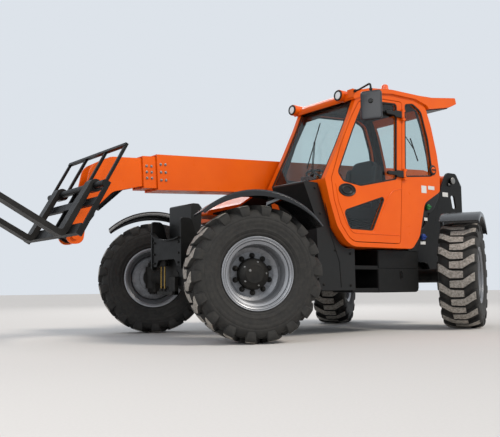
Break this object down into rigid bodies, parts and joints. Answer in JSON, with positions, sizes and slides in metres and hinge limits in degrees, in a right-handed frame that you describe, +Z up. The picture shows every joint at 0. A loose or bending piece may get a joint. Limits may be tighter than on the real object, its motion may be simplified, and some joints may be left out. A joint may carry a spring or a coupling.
{
  "type": "telehandler",
  "caption": "Telescopic handler: four-wheel-steered chassis, side cab, engine pod, rear-pivoted telescoping boom with a tilting fork carriage.",
  "frame": {"origin": "ground level under the middle of the machine's overall box", "axes": "+X forward along the boom, +Y to the machine's left, +Z up"},
  "size_m": [6.9708, 3.1004, 2.776],
  "materials": {
    "orange_paint": "bright orange machine paint",
    "black_paint": "satin black chassis paint",
    "black_plastic": "moulded black plastic",
    "tyre": "dusty black rubber",
    "rim_silver": "silver painted steel",
    "cast_axle": "black painted casting",
    "glass": "lightly tinted glass",
    "seat_vinyl": "black vinyl",
    "chrome_rod": "hard chrome",
    "fork_steel": "black painted fork steel",
    "lamp_lens": "clear lens",
    "beacon_lens": "amber lens",
    "engine_iron": "grey cast iron"
  },
  "bodies": {
    "chassis": {"frame_sides": "black_paint", "frame_crossplates": "black_paint", "rear_weight": "black_paint", "front_cover": "black_plastic", "axle_front": "cast_axle", "axle_rear": "cast_axle", "cab_side_left": "orange_paint", "cab_side_right": "orange_paint", "cab_front": "orange_paint", "cab_floor": "orange_paint", "cab_rear": "orange_paint", "cab_roof": "orange_paint", "glass_front": "glass", "glass_rear": "glass", "glass_quarter": "glass", "glass_right": "glass", "seat": "seat_vinyl", "steering_column": "black_plastic", "beacon": "beacon_lens", "work_lamps": "lamp_lens", "mirror": "black_plastic", "side_panels": "black_plastic", "side_box": "black_paint", "step": "black_paint", "engine_pod": "black_paint", "engine_block": "engine_iron"},
    "knuckle_front_left": {"knuckle_front_left": "cast_axle", "fender_front_left": "black_plastic"},
    "wheel_front_left": {"rim_front_left": "rim_silver", "tyre_front_left": "tyre"},
    "knuckle_front_right": {"knuckle_front_right": "cast_axle", "fender_front_right": "black_plastic"},
    "wheel_front_right": {"rim_front_right": "rim_silver", "tyre_front_right": "tyre"},
    "knuckle_rear_left": {"knuckle_rear_left": "cast_axle", "fender_rear_left": "black_plastic"},
    "wheel_rear_left": {"rim_rear_left": "rim_silver", "tyre_rear_left": "tyre"},
    "knuckle_rear_right": {"knuckle_rear_right": "cast_axle", "fender_rear_right": "black_plastic"},
    "wheel_rear_right": {"rim_rear_right": "rim_silver", "tyre_rear_right": "tyre"},
    "door": {"door_panel": "orange_paint", "door_glass": "glass"},
    "hood": {"engine_hood": "orange_paint"},
    "boom": {"boom_outer": "orange_paint"},
    "boom_mid": {"boom_mid": "orange_paint"},
    "boom_inner": {"boom_inner": "orange_paint"},
    "carriage": {"carriage": "black_paint", "forks": "fork_steel"},
    "lift_barrel": {"lift_barrel": "black_paint"},
    "lift_rod": {"lift_rod": "chrome_rod"},
    "tilt_barrel": {"tilt_barrel": "black_paint"},
    "tilt_rod": {"tilt_rod": "chrome_rod"}
  },
  "joints": [
    {"name": "steer_front_left", "type": "hinge", "parent": "chassis", "child": "knuckle_front_left", "pos_m": [0.805, 0.9, 0.633], "axis": [0, 0, 1], "range_deg": [-11.3, 60.1]},
    {"name": "steer_front_right", "type": "hinge", "parent": "chassis", "child": "knuckle_front_right", "pos_m": [0.805, -0.9, 0.633], "axis": [0, 0, 1], "range_deg": [-11.3, 60.1]},
    {"name": "steer_rear_left", "type": "hinge", "parent": "chassis", "child": "knuckle_rear_left", "pos_m": [-2.295, 0.9, 0.633], "axis": [0, 0, 1], "range_deg": [-66.4, 1.9]},
    {"name": "steer_rear_right", "type": "hinge", "parent": "chassis", "child": "knuckle_rear_right", "pos_m": [-2.295, -0.9, 0.633], "axis": [0, 0, 1], "range_deg": [-66.4, 1.9]},
    {"name": "spin_front_left", "type": "hinge", "parent": "knuckle_front_left", "child": "wheel_front_left", "pos_m": [0.86143, 1.03898, 0.633], "axis": [0.3762, 0.9265, 0], "continuous": true},
    {"name": "spin_front_right", "type": "hinge", "parent": "knuckle_front_right", "child": "wheel_front_right", "pos_m": [0.7376, -1.03401, 0.633], "axis": [0.4493, 0.8934, 0], "continuous": true},
    {"name": "spin_rear_left", "type": "hinge", "parent": "knuckle_rear_left", "child": "wheel_rear_left", "pos_m": [-2.36634, 1.03195, 0.633], "axis": [-0.4756, 0.8796, 0], "continuous": true},
    {"name": "spin_rear_right", "type": "hinge", "parent": "knuckle_rear_right", "child": "wheel_rear_right", "pos_m": [-2.20662, -1.0212, 0.633], "axis": [-0.5892, 0.808, 0], "continuous": true},
    {"name": "cab_door", "type": "hinge", "parent": "chassis", "child": "door", "pos_m": [-1.209, 1.14, 2], "axis": [0, 0, 1], "range_deg": [0, 90]},
    {"name": "engine_hood", "type": "hinge", "parent": "chassis", "child": "hood", "pos_m": [-1.57, -0.73, 1.305], "axis": [0, -1, 0], "range_deg": [0, 50]},
    {"name": "boom_lift", "type": "hinge", "parent": "chassis", "child": "boom", "pos_m": [-3.195, 0, 1.95], "axis": [0, -1, 0], "range_deg": [0, 68]},
    {"name": "boom_extend", "type": "slide", "parent": "boom", "child": "boom_mid", "axis": [0.9983, 0, -0.0576], "range_m": [0, 3]},
    {"name": "boom_inner_extend", "type": "slide", "parent": "boom_mid", "child": "boom_inner", "axis": [0.9983, 0, -0.0576], "range_m": [0, 3]},
    {"name": "carriage_tilt", "type": "hinge", "parent": "boom_inner", "child": "carriage", "pos_m": [2.20524, 0, 0.99956], "axis": [0, -1, 0], "range_deg": [-112, 0]},
    {"name": "lift_barrel_pivot", "type": "hinge", "parent": "chassis", "child": "lift_barrel", "pos_m": [-2.895, 0, 0.7], "axis": [0, -1, 0], "range_deg": [0, 42.27]},
    {"name": "lift_rod_slide", "type": "slide", "parent": "lift_barrel", "child": "lift_rod", "axis": [0.8305, 0, 0.5569], "range_m": [0, 1.12038]},
    {"name": "tilt_barrel_pivot", "type": "hinge", "parent": "boom_inner", "child": "tilt_barrel", "pos_m": [1.48837, 0, 1.69999], "axis": [0, -1, 0], "range_deg": [0, 5.55]},
    {"name": "tilt_rod_slide", "type": "slide", "parent": "tilt_barrel", "child": "tilt_rod", "axis": [0.7561, 0, -0.6544], "range_m": [0, 0.46093]}
  ],
  "couplings": [
    {"joint": "steer_front_right", "follows": "steer_front_left", "ratio": 1},
    {"joint": "steer_rear_right", "follows": "steer_rear_left", "ratio": 1},
    {"joint": "boom_inner_extend", "follows": "boom_extend", "ratio": 1},
    {"joint": "lift_barrel_pivot", "follows": "boom_lift", "ratio": 0.61541},
    {"joint": "lift_rod_slide", "follows": "boom_lift", "m_per_rad": 0.93467},
    {"joint": "tilt_barrel_pivot", "follows": "carriage_tilt", "ratio": -0.04911},
    {"joint": "tilt_rod_slide", "follows": "carriage_tilt", "m_per_rad": -0.23347}
  ]
}
